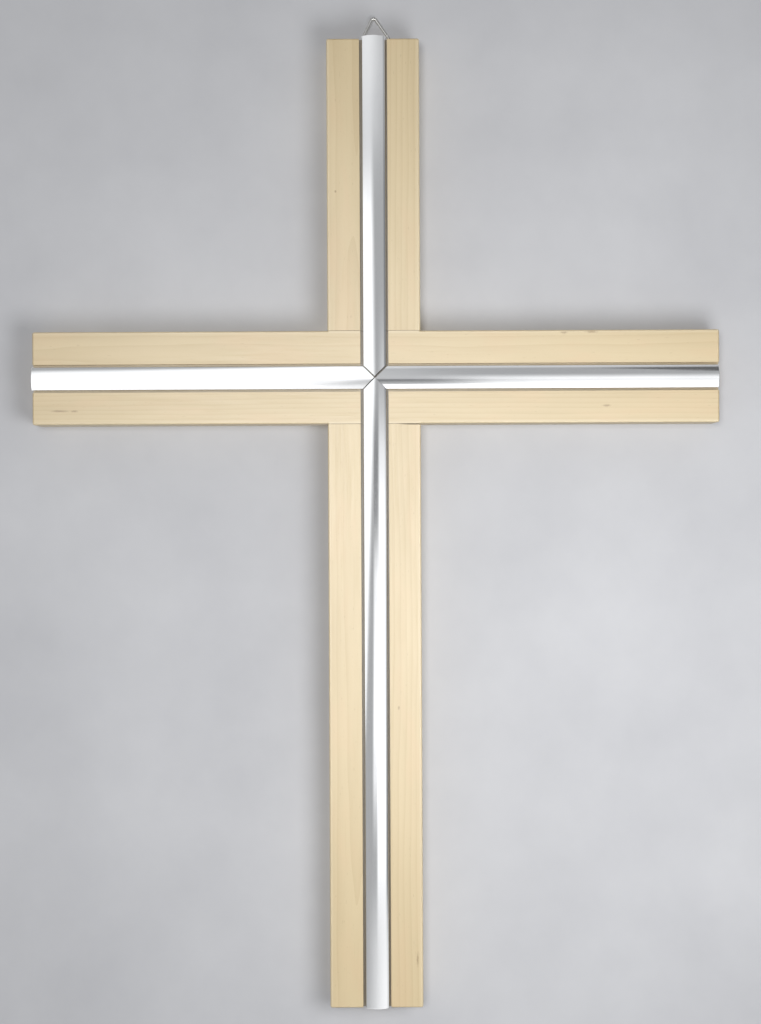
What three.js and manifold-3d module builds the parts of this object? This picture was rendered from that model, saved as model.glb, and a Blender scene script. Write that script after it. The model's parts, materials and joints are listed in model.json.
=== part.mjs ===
// A wooden wall cross. Two beams of pale hardwood are half-lapped and glued, with the crossbar
// in front. Four domed metal strips lie on bonding tape in a groove along the front and meet
// in double mitres at the crossing. A wire ring, held by a screwed-on strap, hangs it up.
//
// Millimetres, +Z up. The front faces -Y, the back lies on Y = 0, and +X is to the right of
// someone who faces the front. The origin is the centre of the crossing on the back face.

import * as THREE from 'three';
import { mergeVertices } from 'three/addons/utils/BufferGeometryUtils.js';
import Module from 'manifold-3d';

// Beams
const BEAM_WIDTH = 48;
const BEAM_THICKNESS = 18;
const REACH_UP = 175; // from the crossing's centre to each beam end
const REACH_DOWN = 325.8;
const REACH_LEFT = 176.6; // the crossbar sits a little to the right of the upright's middle
const REACH_RIGHT = 178.4;
const EDGE_EASE = 0.8; // chamfer sanded round the glued-up cross, front and back
const SHOULDER_GAP = 0.16; // seam at each shoulder of the half-lap
const GLUE_LINE = 0.1; // between the two faces of the half-lap
const GROOVE_WIDTH = 14.5;
const GROOVE_DEPTH = 3;
const GROOVE_SHIFT_X = 0.25; // the grooves run a little off the middle of the beams
const GROOVE_SHIFT_Z = -0.2;

// Metal inlay
const STRIP_WIDTH = 12;
const STRIP_HEIGHT = 5; // from the flat back to the crown
const STRIP_CROWN = 2.2; // how far the domed face rises above the strip's straight sides
const MITRE_GAP = 0.3;
const TAPE_WIDTH = 9.5;
const TAPE_THICKNESS = 0.7;
const TAPE_CLEARANCE = 0.05; // on each face of the tape
const TAPE_START = 6.5; // from the crossing's centre
const TAPE_END_MARGIN = 3; // short of the strip's outer end
const INLAY_SHIFT_X = 0.4; // the inlay lies a little off the middle of the grooves too
const INLAY_SHIFT_Z = -0.2;
const OVERHANG = { upper: 1.1, right: -0.5, lower: 0, left: 0.2 }; // strip ends past the wood

// Hanger. Its frame has its origin at the ring's hinge line, on the back face of the wood.
const HANGER_X = 1.9;
const HANGER_BELOW_TOP = 3.3;
const HANGER_LEAN = THREE.MathUtils.degToRad(-4.5); // screwed on slightly askew
const WIRE_RADIUS = 0.9;
const RING_SIDE = 24; // of the wire's centreline, an equilateral triangle
const RING_CORNER_RADIUS = 1.5;
const RING_END_GAP = 0.6; // the wire's two ends nearly meet inside the strap's loop
const STRAP_WIDTH = 10;
const STRAP_THICKNESS = 0.8;
const STRAP_LEAF = 16; // from the hinge line down to the strap's lower end
const STRAP_CORNER_RADIUS = 2;
const STRAP_TO_WOOD = 0.05;
const LEAF_GAP = 0.08; // between the folded strap's two leaves
const LOOP_CLEARANCE = 0.25; // round the ring's wire
const LOOP_EASING_RADIUS = 0.6; // where the loop turns into the outer leaf

// Hanger screws
const SCREW_DROPS = { upper: 5.2, lower: 11.8 }; // below the hinge line
const SCREW_LENGTH = 12;
const SCREW_RADIUS = 1.2; // over the thread
const SCREW_ROOT_RADIUS = 0.85;
const SCREW_TIP = 2.2;
const SCREW_PLAIN = 2; // unthreaded length under the head
const THREAD_PITCH = 1.1;
const HEAD_RADIUS = 2.6;
const HEAD_HEIGHT = 1.7;
const HEAD_RIM = 0.4;
const RECESS = { length: 2.8, width: 0.6, depth: 1 };
const HOLE_CLEARANCE = 0.3; // round each screw, in strap and wood
const PILOT_DEPTH = 11;

// Derived positions
const HALF_WIDTH = BEAM_WIDTH / 2;
const FRONT = -BEAM_THICKNESS;
const LAP = -BEAM_THICKNESS / 2;
const GROOVE_FLOOR = FRONT + GROOVE_DEPTH;
const TAPE_BACK = GROOVE_FLOOR - TAPE_CLEARANCE;
const STRIP_BACK = TAPE_BACK - TAPE_THICKNESS - TAPE_CLEARANCE;
const PAST = 5; // how far a cutting block runs past what it cuts

const LOOP_RADIUS = WIRE_RADIUS + LOOP_CLEARANCE + STRAP_THICKNESS / 2; // of its middle line
const HINGE_Y = STRAP_TO_WOOD + STRAP_THICKNESS / 2 + LOOP_RADIUS;
const INNER_LEAF_Y = STRAP_TO_WOOD + STRAP_THICKNESS / 2;
const OUTER_LEAF_Y = INNER_LEAF_Y + STRAP_THICKNESS + LEAF_GAP;
const HEAD_SEAT_Y = OUTER_LEAF_Y + STRAP_THICKNESS / 2;

const MAPLE = { color: 0xe6cfa6, roughness: 0.55, metalness: 0 };
const POLISHED_METAL = { color: 0xe4e6e8, roughness: 0.12, metalness: 1 };
const FOAM_TAPE = { color: 0xd9d9d4, roughness: 0.9, metalness: 0 };
const PLATED_STEEL = { color: 0xb9bbbd, roughness: 0.3, metalness: 1 };

const wasm = await Module();
wasm.setup();

function toSolid(geometry) {
  const bare = geometry.clone();
  bare.deleteAttribute('normal');
  bare.deleteAttribute('uv');
  const merged = mergeVertices(bare, 1e-5);
  return new wasm.Manifold(new wasm.Mesh({
    numProp: 3,
    vertProperties: Float32Array.from(merged.attributes.position.array),
    triVerts: Uint32Array.from(merged.index.array),
  }));
}

function toGeometry(solid) {
  const mesh = solid.getMesh();
  const geometry = new THREE.BufferGeometry();
  geometry.setAttribute('position', new THREE.BufferAttribute(mesh.vertProperties, 3));
  geometry.setIndex(new THREE.BufferAttribute(mesh.triVerts, 1));
  geometry.computeVertexNormals();
  return geometry;
}

function block([x0, y0, z0], [x1, y1, z1]) {
  const geometry = new THREE.BoxGeometry(x1 - x0, y1 - y0, z1 - z0);
  return toSolid(geometry.translate((x0 + x1) / 2, (y0 + y1) / 2, (z0 + z1) / 2));
}

function piece(name, geometry, finish) {
  const mesh = new THREE.Mesh(geometry, new THREE.MeshStandardMaterial(finish));
  mesh.name = name;
  return mesh;
}

// The hanger's frame, for the holes that it needs in the wood.
function hangerFrame() {
  const place = new THREE.Matrix4().makeRotationY(HANGER_LEAN);
  return place.setPosition(HANGER_X, 0, REACH_UP - HANGER_BELOW_TOP);
}

// Round hole along Y, in the hanger's frame, for the screw at this drop below the hinge line.
function screwHole(drop, fromY, toY) {
  const radius = SCREW_RADIUS + HOLE_CLEARANCE;
  const cylinder = new THREE.CylinderGeometry(radius, radius, toY - fromY, 24);
  return cylinder.translate(0, (fromY + toY) / 2, -drop);
}

// ---- Beams ----

// The whole cross as one eased blank, which the two beams are parted from, so that the
// chamfers run round its outline and mitre in the inner corners.
function easedBlank() {
  const corners = [
    [-HALF_WIDTH, REACH_UP], [-HALF_WIDTH, HALF_WIDTH], [-REACH_LEFT, HALF_WIDTH],
    [-REACH_LEFT, -HALF_WIDTH], [-HALF_WIDTH, -HALF_WIDTH], [-HALF_WIDTH, -REACH_DOWN],
    [HALF_WIDTH, -REACH_DOWN], [HALF_WIDTH, -HALF_WIDTH], [REACH_RIGHT, -HALF_WIDTH],
    [REACH_RIGHT, HALF_WIDTH], [HALF_WIDTH, HALF_WIDTH], [HALF_WIDTH, REACH_UP],
  ];
  const outline = new THREE.Shape(corners.map(([x, z]) => new THREE.Vector2(x, z)));
  const geometry = new THREE.ExtrudeGeometry(outline, {
    depth: BEAM_THICKNESS - 2 * EDGE_EASE,
    bevelThickness: EDGE_EASE,
    bevelSize: EDGE_EASE,
    bevelOffset: -EDGE_EASE,
    bevelSegments: 1,
  });
  geometry.translate(0, 0, EDGE_EASE);
  return toSolid(geometry.rotateX(Math.PI / 2));
}

function grooves() {
  const half = GROOVE_WIDTH / 2;
  const alongUpright = block(
    [GROOVE_SHIFT_X - half, FRONT - PAST, -REACH_DOWN - PAST],
    [GROOVE_SHIFT_X + half, GROOVE_FLOOR, REACH_UP + PAST],
  );
  const alongCrossbar = block(
    [-REACH_LEFT - PAST, FRONT - PAST, GROOVE_SHIFT_Z - half],
    [REACH_RIGHT + PAST, GROOVE_FLOOR, GROOVE_SHIFT_Z + half],
  );
  return alongUpright.add(alongCrossbar);
}

function uprightBeam(blank) {
  const length = block(
    [-HALF_WIDTH, FRONT - PAST, -REACH_DOWN - PAST],
    [HALF_WIDTH, PAST, REACH_UP + PAST],
  );
  const shoulder = HALF_WIDTH + SHOULDER_GAP;
  const notch = block(
    [-HALF_WIDTH - PAST, FRONT - PAST, -shoulder],
    [HALF_WIDTH + PAST, LAP + GLUE_LINE / 2, shoulder],
  );
  let beam = blank.intersect(length).subtract(notch).subtract(grooves());
  for (const drop of Object.values(SCREW_DROPS)) {
    const pilot = screwHole(drop, -PILOT_DEPTH, PAST).applyMatrix4(hangerFrame());
    beam = beam.subtract(toSolid(pilot));
  }
  return piece('upright_beam', toGeometry(beam), MAPLE);
}

function crossbarBeam(blank) {
  const length = block(
    [-REACH_LEFT - PAST, FRONT - PAST, -HALF_WIDTH],
    [REACH_RIGHT + PAST, PAST, HALF_WIDTH],
  );
  const shoulder = HALF_WIDTH + SHOULDER_GAP;
  const notch = block(
    [-shoulder, LAP - GLUE_LINE / 2, -HALF_WIDTH - PAST],
    [shoulder, PAST, HALF_WIDTH + PAST],
  );
  const beam = blank.intersect(length).subtract(notch).subtract(grooves());
  return piece('crossbar_beam', toGeometry(beam), MAPLE);
}

// ---- Metal inlay ----

// Straight sides and a domed face, which is an arc of a circle. The dome is on the -Y side.
function stripSection() {
  const half = STRIP_WIDTH / 2;
  const radius = (half ** 2 + STRIP_CROWN ** 2) / (2 * STRIP_CROWN);
  const centre = radius - STRIP_HEIGHT;
  const edge = Math.asin(half / radius);
  const section = new THREE.Shape();
  section.moveTo(half, 0);
  section.lineTo(-half, 0);
  section.absarc(0, centre, radius, -Math.PI / 2 - edge, -Math.PI / 2 + edge);
  section.closePath();
  return section;
}

// A strip along +Z that starts in a right-angled point at the crossing's centre.
function pointedStrip(length) {
  const bar = new THREE.ExtrudeGeometry(stripSection(), {
    depth: length, bevelEnabled: false, curveSegments: 20,
  });
  const tip = MITRE_GAP * Math.SQRT1_2;
  const reach = STRIP_WIDTH;
  const point = new THREE.Shape([
    new THREE.Vector2(0, tip),
    new THREE.Vector2(reach, tip + reach),
    new THREE.Vector2(reach, length + PAST),
    new THREE.Vector2(-reach, length + PAST),
    new THREE.Vector2(-reach, tip + reach),
  ]);
  const keep = new THREE.ExtrudeGeometry(point, { depth: 4 * STRIP_HEIGHT, bevelEnabled: false });
  keep.translate(0, 0, -2 * STRIP_HEIGHT).rotateX(Math.PI / 2);
  return toGeometry(toSolid(bar).intersect(toSolid(keep)));
}

// One arm's strip and the tape under it, in a group turned about the crossing's Y axis.
function inlayArm(side, turn, length) {
  const arm = new THREE.Group();
  arm.rotation.y = turn;

  const strip = piece(`inlay_strip_${side}`, pointedStrip(length), POLISHED_METAL);
  strip.position.y = STRIP_BACK;

  const tapeLength = length - TAPE_START - TAPE_END_MARGIN;
  const tapeGeometry = new THREE.BoxGeometry(TAPE_WIDTH, TAPE_THICKNESS, tapeLength);
  const tape = piece(`inlay_tape_${side}`, tapeGeometry, FOAM_TAPE);
  tape.position.set(0, TAPE_BACK - TAPE_THICKNESS / 2, TAPE_START + tapeLength / 2);

  arm.add(strip, tape);
  return arm;
}

function inlay() {
  const group = new THREE.Group();
  group.position.set(INLAY_SHIFT_X, 0, INLAY_SHIFT_Z);
  const right = REACH_RIGHT + OVERHANG.right - INLAY_SHIFT_X;
  const left = REACH_LEFT + OVERHANG.left + INLAY_SHIFT_X;
  group.add(
    inlayArm('upper', 0, REACH_UP + OVERHANG.upper - INLAY_SHIFT_Z),
    inlayArm('right', Math.PI / 2, right),
    inlayArm('lower', Math.PI, REACH_DOWN + OVERHANG.lower + INLAY_SHIFT_Z),
    inlayArm('left', -Math.PI / 2, left),
  );
  return group;
}

// ---- Hanger ----

// The ring's wire centreline: a triangle with rounded corners and its base on the hinge line.
function ringOutline() {
  const inset = RING_CORNER_RADIUS * Math.sqrt(3);
  const half = RING_SIDE / 2;
  const apex = RING_SIDE * Math.sqrt(3) / 2;
  const path = new THREE.Path();
  path.moveTo(RING_END_GAP / 2, 0);
  path.lineTo(half - inset, 0);
  path.absarc(half - inset, RING_CORNER_RADIUS, RING_CORNER_RADIUS, -Math.PI / 2, Math.PI / 6);
  path.absarc(0, apex - 2 * RING_CORNER_RADIUS, RING_CORNER_RADIUS, Math.PI / 6, Math.PI * 5 / 6);
  path.absarc(inset - half, RING_CORNER_RADIUS, RING_CORNER_RADIUS, Math.PI * 5 / 6, Math.PI * 3 / 2);
  path.lineTo(-RING_END_GAP / 2, 0);
  return path;
}

class UprightCurve extends THREE.Curve {
  constructor(path) {
    super();
    this.path = path;
  }

  getPoint(t, target = new THREE.Vector3()) {
    const { x, y } = this.path.getPoint(t);
    return target.set(x, 0, y);
  }
}

function ring() {
  const wire = new THREE.Shape().absarc(0, 0, WIRE_RADIUS, 0, 2 * Math.PI);
  const geometry = new THREE.ExtrudeGeometry(wire, {
    extrudePath: new UprightCurve(ringOutline()), steps: 96, curveSegments: 6,
  });
  const mesh = piece('hanger_ring', geometry, PLATED_STEEL);
  mesh.position.y = HINGE_Y;
  return mesh;
}

// The strap's middle line from the side (Y across, Z up): up the inner leaf, round the loop,
// and back down the outer leaf.
function strapLine() {
  const easingY = OUTER_LEAF_Y + LOOP_EASING_RADIUS;
  const reach = LOOP_RADIUS + LOOP_EASING_RADIUS;
  const easingZ = -Math.sqrt(reach ** 2 - (HINGE_Y - easingY) ** 2);
  const meet = Math.atan2(easingZ, easingY - HINGE_Y);
  const line = new THREE.Path();
  line.moveTo(INNER_LEAF_Y, -STRAP_LEAF);
  line.lineTo(INNER_LEAF_Y, 0);
  line.absarc(HINGE_Y, 0, LOOP_RADIUS, Math.PI, meet, true);
  line.absarc(easingY, easingZ, LOOP_EASING_RADIUS, meet + Math.PI, Math.PI, false);
  line.lineTo(OUTER_LEAF_Y, -STRAP_LEAF);
  return line;
}

function sheetOutline(line, thickness, steps) {
  const left = [];
  const right = [];
  for (let i = 0; i <= steps; i += 1) {
    const at = line.getPoint(i / steps);
    const along = line.getTangent(i / steps);
    const out = new THREE.Vector2(-along.y, along.x).multiplyScalar(thickness / 2);
    left.push(at.clone().add(out));
    right.unshift(at.clone().sub(out));
  }
  return new THREE.Shape([...left, ...right]);
}

// Seen from behind: a plate with its two lower corners rounded and room above for the loop.
function strapFace() {
  const half = STRAP_WIDTH / 2;
  const corner = STRAP_CORNER_RADIUS;
  const face = new THREE.Shape();
  face.moveTo(half, PAST);
  face.lineTo(-half, PAST);
  face.absarc(corner - half, corner - STRAP_LEAF, corner, Math.PI, Math.PI * 3 / 2);
  face.absarc(half - corner, corner - STRAP_LEAF, corner, -Math.PI / 2, 0);
  face.closePath();
  const geometry = new THREE.ExtrudeGeometry(face, {
    depth: 4 * PAST, bevelEnabled: false, curveSegments: 6,
  });
  return toSolid(geometry.translate(0, 0, -2 * PAST).rotateX(Math.PI / 2));
}

function strap() {
  const sheet = new THREE.ExtrudeGeometry(sheetOutline(strapLine(), STRAP_THICKNESS, 72), {
    depth: STRAP_WIDTH + 2, bevelEnabled: false,
  });
  // The section was drawn with Y across and Z up, and is extruded along X.
  sheet.translate(0, 0, -STRAP_WIDTH / 2 - 1);
  sheet.applyMatrix4(new THREE.Matrix4().makeBasis(
    new THREE.Vector3(0, 1, 0), new THREE.Vector3(0, 0, 1), new THREE.Vector3(1, 0, 0),
  ));
  let solid = toSolid(sheet).intersect(strapFace());
  for (const drop of Object.values(SCREW_DROPS)) {
    solid = solid.subtract(toSolid(screwHole(drop, -PAST, PAST)));
  }
  return piece('hanger_strap', toGeometry(solid), PLATED_STEEL);
}

// Pan head, plain shank, ridged thread and point, turned about Y with the head on +Y.
function screwProfile() {
  const points = [new THREE.Vector2(0, -SCREW_LENGTH)];
  const threads = Math.floor((SCREW_LENGTH - SCREW_TIP - SCREW_PLAIN) / THREAD_PITCH);
  for (let i = 0; i < threads; i += 1) {
    const y = -SCREW_PLAIN - (threads - i) * THREAD_PITCH;
    points.push(new THREE.Vector2(SCREW_ROOT_RADIUS, y));
    points.push(new THREE.Vector2(SCREW_RADIUS, y + THREAD_PITCH / 2));
  }
  points.push(new THREE.Vector2(SCREW_ROOT_RADIUS, -SCREW_PLAIN));
  points.push(new THREE.Vector2(SCREW_ROOT_RADIUS, 0));
  points.push(new THREE.Vector2(HEAD_RADIUS, 0));
  const domeSteps = 5;
  for (let i = 0; i < domeSteps; i += 1) {
    const angle = (i / domeSteps) * Math.PI / 2;
    const rise = (HEAD_HEIGHT - HEAD_RIM) * Math.sin(angle);
    points.push(new THREE.Vector2(HEAD_RADIUS * Math.cos(angle), HEAD_RIM + rise));
  }
  points.push(new THREE.Vector2(0, HEAD_HEIGHT));
  return points;
}

function screw(place, drop, turn) {
  const { length, width, depth } = RECESS;
  const floor = HEAD_HEIGHT - depth;
  const across = block([-length / 2, floor, -width / 2], [length / 2, PAST, width / 2]);
  const along = block([-width / 2, floor, -length / 2], [width / 2, PAST, length / 2]);
  const turned = toSolid(new THREE.LatheGeometry(screwProfile(), 20));
  const solid = turned.subtract(across.add(along));
  const mesh = piece(`hanger_screw_${place}`, toGeometry(solid), PLATED_STEEL);
  mesh.position.set(0, HEAD_SEAT_Y, -drop);
  mesh.rotation.y = turn;
  return mesh;
}

function hanger() {
  const group = new THREE.Group();
  group.position.set(HANGER_X, 0, REACH_UP - HANGER_BELOW_TOP);
  group.rotation.y = HANGER_LEAN;
  group.add(
    strap(),
    ring(),
    screw('upper', SCREW_DROPS.upper, 0.35),
    screw('lower', SCREW_DROPS.lower, 1.1),
  );
  return group;
}

const blank = easedBlank();
const cross = new THREE.Group();
cross.add(uprightBeam(blank), crossbarBeam(blank), inlay(), hanger());

export default cross;
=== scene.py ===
"""Looks for the wooden wall cross: two half-lapped maple beams, a domed polished aluminium inlay
with mitres at the crossing, and a wire ring on a screwed strap behind the top end.

Every piece is built in place, in metres, in the frame of the CAD model: +Z up, the front faces
-Y, and the origin is the centre of the crossing on the back face of the wood.
"""

import json
import math

import bmesh
import bpy
from mathutils import Matrix, Vector, noise

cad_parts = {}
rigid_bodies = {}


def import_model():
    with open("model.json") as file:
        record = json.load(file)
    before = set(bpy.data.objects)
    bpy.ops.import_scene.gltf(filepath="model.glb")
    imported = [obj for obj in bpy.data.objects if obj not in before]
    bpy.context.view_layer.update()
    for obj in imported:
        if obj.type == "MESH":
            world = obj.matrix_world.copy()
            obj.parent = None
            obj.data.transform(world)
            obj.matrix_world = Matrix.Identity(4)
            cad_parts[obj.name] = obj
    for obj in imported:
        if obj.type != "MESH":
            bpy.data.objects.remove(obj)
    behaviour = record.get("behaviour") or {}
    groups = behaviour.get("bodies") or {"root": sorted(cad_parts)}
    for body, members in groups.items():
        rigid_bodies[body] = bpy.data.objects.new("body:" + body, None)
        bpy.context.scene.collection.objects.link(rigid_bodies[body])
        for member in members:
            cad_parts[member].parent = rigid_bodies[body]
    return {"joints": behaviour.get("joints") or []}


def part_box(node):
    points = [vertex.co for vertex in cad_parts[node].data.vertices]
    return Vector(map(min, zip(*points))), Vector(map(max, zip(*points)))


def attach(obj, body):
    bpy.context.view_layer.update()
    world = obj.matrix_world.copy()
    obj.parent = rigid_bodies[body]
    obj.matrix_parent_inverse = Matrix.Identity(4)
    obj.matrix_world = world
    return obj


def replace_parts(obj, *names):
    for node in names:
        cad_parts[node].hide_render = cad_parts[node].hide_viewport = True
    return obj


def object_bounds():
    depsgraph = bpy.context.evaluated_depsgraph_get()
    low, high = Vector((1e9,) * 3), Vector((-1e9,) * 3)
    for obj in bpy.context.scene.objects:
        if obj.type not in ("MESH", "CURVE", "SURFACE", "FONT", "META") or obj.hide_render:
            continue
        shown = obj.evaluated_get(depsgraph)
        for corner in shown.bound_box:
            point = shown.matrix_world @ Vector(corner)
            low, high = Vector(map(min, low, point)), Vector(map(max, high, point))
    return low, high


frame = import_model()
cad_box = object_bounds()

MM = 0.001

# Beams. Their outer sizes come from the frame.
EASE_RADIUS = 0.8 * MM
EASE_STEPS = 6
END_CORNER_RADIUS = 1.0 * MM
SHOULDER_GAP = 0.16 * MM
GLUE_LINE = 0.1 * MM
GROOVE_WIDTH = 14.5 * MM
GROOVE_DEPTH = 3.0 * MM
GROOVE_SHIFT_X = 0.25 * MM
GROOVE_SHIFT_Z = -0.2 * MM
ARRIS = 0.14 * MM
PILOT_RADIUS = 1.5 * MM
PILOT_DEPTH = 11.0 * MM

# Inlay
STRIP_CROWN = 2.2 * MM
STRIP_CORNER = 0.6 * MM
DEBURR = 0.25 * MM
MITRE_GAPS = {"upper_right": 1.0, "upper_left": 0.7, "lower_left": 0.55, "lower_right": 0.12}  # mm

# Hanger, in its own frame: the hinge line is X, and Z runs up along the strap.
WIRE_RADIUS = 0.9 * MM
RING_SIDE = 24.0 * MM
RING_CORNER_RADIUS = 1.5 * MM
RING_END_GAP = 0.6 * MM
STRAP_WIDTH = 10.0 * MM
STRAP_THICKNESS = 0.8 * MM
STRAP_LEAF = 16.0 * MM
STRAP_CORNER_RADIUS = 2.0 * MM
STRAP_TO_WOOD = 0.05 * MM
LEAF_GAP = 0.08 * MM
EASING_RADIUS = 0.6 * MM
SCREW_DROPS = {"upper": 5.2 * MM, "lower": 11.8 * MM}
SCREW_TURNS = {"upper": 0.35, "lower": 1.1}  # radians
SCREW_LENGTH = 12.0 * MM
SCREW_RADIUS = 1.2 * MM
SCREW_ROOT_RADIUS = 0.85 * MM
SCREW_PLAIN = 2.0 * MM
SCREW_TIP = 2.6 * MM
THREAD_PITCH = 1.1 * MM
HEAD_RADIUS = 2.6 * MM
HEAD_HEIGHT = 1.7 * MM
HEAD_RIM = 0.4 * MM
RECESS_DEPTH = 1.15 * MM
PAST = 5.0 * MM  # how far a cutting block runs past what it cuts

BEAM_LOW, BEAM_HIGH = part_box("upright_beam")
BAR_LOW, BAR_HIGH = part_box("crossbar_beam")
HALF_WIDTH = BEAM_HIGH.x
FRONT = BEAM_LOW.y
BACK = BEAM_HIGH.y
LAP = (FRONT + BACK) / 2
GROOVE_FLOOR = FRONT + GROOVE_DEPTH

HINGE = frame["joints"][0]


# ---------------------------------------------------------------- mesh tools

def mesh_object(name, bm):
    """A linked mesh object made from bm."""
    mesh = bpy.data.meshes.new(name)
    bm.to_mesh(mesh)
    bm.free()
    obj = bpy.data.objects.new(name, mesh)
    bpy.context.scene.collection.objects.link(obj)
    return obj


def new_object(name, bm):
    """A linked mesh object made from bm, with its faces pointing outwards."""
    bmesh.ops.recalc_face_normals(bm, faces=bm.faces)
    return mesh_object(name, bm)


def apply_modifiers(obj):
    graph = bpy.context.evaluated_depsgraph_get()
    mesh = bpy.data.meshes.new_from_object(obj.evaluated_get(graph), depsgraph=graph)
    mesh.name = obj.name
    obj.modifiers.clear()
    obj.data = mesh


def combine(obj, cutter, operation="DIFFERENCE"):
    """Cuts obj with the cutter, or keeps what they share, and removes the cutter."""
    modifier = obj.modifiers.new("combine", "BOOLEAN")
    modifier.operation = operation
    modifier.solver = "EXACT"
    modifier.object = cutter
    apply_modifiers(obj)
    bpy.data.objects.remove(cutter)
    return obj


def soften_edges(obj, width, segments=2, angle=50):
    """Rounds every edge that is sharper than the angle."""
    modifier = obj.modifiers.new("soften", "BEVEL")
    modifier.width = width
    modifier.segments = segments
    modifier.limit_method = "ANGLE"
    modifier.angle_limit = math.radians(angle)
    modifier.use_clamp_overlap = True
    apply_modifiers(obj)
    return obj


def shade(obj, angle=32):
    """Smooth shading that stays flat on flat faces and breaks at edges sharper than the angle."""
    obj.data.polygons.foreach_set("use_smooth", [True] * len(obj.data.polygons))
    obj.data.set_sharp_from_angle(angle=math.radians(angle))
    modifier = obj.modifiers.new("normals", "WEIGHTED_NORMAL")
    modifier.keep_sharp = True
    apply_modifiers(obj)
    return obj


def block(low, high):
    """A box between two corners, as a cutter."""
    bm = bmesh.new()
    bmesh.ops.create_cube(bm, size=1)
    size = Vector(high) - Vector(low)
    middle = (Vector(low) + Vector(high)) / 2
    bm.transform(Matrix.Translation(middle) @ Matrix.Diagonal((*size, 1)))
    return new_object("cutter", bm)


def bridge(bm, rings, closed=True):
    """Quads between neighbouring rings of vertices, which all have the same count."""
    for first, second in zip(rings, rings[1:]):
        count = len(first)
        for i in range(count if closed else count - 1):
            j = (i + 1) % count
            bm.faces.new((first[i], first[j], second[j], second[i]))


def loft(name, outlines, place=None):
    """A closed solid through outlines of points, capped at both ends."""
    bm = bmesh.new()
    rings = [[bm.verts.new(point) for point in outline] for outline in outlines]
    bridge(bm, rings)
    bm.faces.new(rings[0])
    bm.faces.new(rings[-1])
    if place is not None:
        bm.transform(place)
    return new_object(name, bm)


def arc(centre, radius, start, end, steps):
    """Points of an arc in a plane, from the start angle to the end angle in radians."""
    angles = [start + (end - start) * i / steps for i in range(steps + 1)]
    return [(centre[0] + radius * math.cos(a), centre[1] + radius * math.sin(a)) for a in angles]


# ---------------------------------------------------------------- node tools

def node(tree, kind, inputs=None, **settings):
    """A shader node with its settings, and with inputs given as values or as sockets to link."""
    made = tree.nodes.new(kind)
    for key, value in settings.items():
        setattr(made, key, value)
    for key, value in (inputs or {}).items():
        if isinstance(value, bpy.types.NodeSocket):
            tree.links.new(value, made.inputs[key])
        else:
            made.inputs[key].default_value = value
    return made


def math_node(tree, operation, *values, clamp=False):
    made = node(tree, "ShaderNodeMath", dict(enumerate(values)), operation=operation)
    made.use_clamp = clamp
    return made.outputs[0]


def mix_colour(tree, factor, first, second, blend="MIX"):
    made = node(tree, "ShaderNodeMix", {0: factor, 6: first, 7: second},
                data_type="RGBA", blend_type=blend)
    return made.outputs[2]


def remap(tree, value, from_low, from_high, to_low=0.0, to_high=1.0, smooth=False):
    made = node(tree, "ShaderNodeMapRange", {0: value, 1: from_low, 2: from_high,
                                             3: to_low, 4: to_high})
    made.interpolation_type = "SMOOTHSTEP" if smooth else "LINEAR"
    return made.outputs[0]


def noise_field(tree, vector, scale, detail=3.0, roughness=0.5):
    made = node(tree, "ShaderNodeTexNoise", {"Vector": vector, "Scale": scale, "Detail": detail,
                                             "Roughness": roughness})
    return made.outputs[0]


def place_in_mm(tree, scale=(1, 1, 1), shift=(0, 0, 0)):
    """The place on the object in millimetres, shifted, and squeezed or stretched by the scale."""
    coordinates = node(tree, "ShaderNodeTexCoord")
    mapping = node(tree, "ShaderNodeMapping", {"Vector": coordinates.outputs["Object"],
                                               "Location": [s * k for s, k in zip(shift, scale)],
                                               "Scale": [k / MM for k in scale]})
    return mapping.outputs[0]


def along_axis(axis, amount):
    """A scale of the given amount along the axis, and of 1 across it."""
    return [amount if letter == axis else 1 for letter in "XYZ"]


def lay_over(tree, colour, over, mask, amount):
    """Mixes one colour over another where the mask is, at most by the amount."""
    return mix_colour(tree, math_node(tree, "MULTIPLY", mask, amount), colour, over)


def empty_material(name):
    """A material with nothing in it, as (material, tree, surface socket)."""
    material = bpy.data.materials.new(name)
    material.use_nodes = True
    tree = material.node_tree
    tree.nodes.clear()
    output = tree.nodes.new("ShaderNodeOutputMaterial")
    return material, tree, output.inputs["Surface"]


def new_material(name):
    """A material with a Principled shader, as (material, tree, shader)."""
    material, tree, surface = empty_material(name)
    shader = tree.nodes.new("ShaderNodeBsdfPrincipled")
    tree.links.new(shader.outputs[0], surface)
    return material, tree, shader


def add_bump(tree, shader, height, strength, distance):
    bump = node(tree, "ShaderNodeBump", {"Strength": strength, "Distance": distance,
                                         "Height": height})
    tree.links.new(bump.outputs[0], shader.inputs["Normal"])


# ---------------------------------------------------------------- materials

EARLY_WOOD = (0.592, 0.470, 0.268, 1)
LATE_WOOD = (0.505, 0.38, 0.198, 1)
# Painted highlight for the long front edges.
EDGE_HIGHLIGHT = (0.74, 0.65, 0.47, 1)
PORE_BROWN = (0.29, 0.19, 0.09, 1)
END_GRAIN = (0.44, 0.32, 0.165, 1)
# Painted shade for the inside of the grooves.
GROOVE_SHADE = (0.105, 0.088, 0.068, 1)
WARM_BLOTCH = (0.62, 0.44, 0.25, 1)
END_LATE_WOOD = (0.34, 0.23, 0.115, 1)
VARNISH_IOR = 1.56
VARNISH_SHINE = 0.88
FLECK_THICKNESS = 0.8  # in millimetres
LENGTHWISE = {"X": (1, 0, 0), "Z": (0, 0, 1)}

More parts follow.
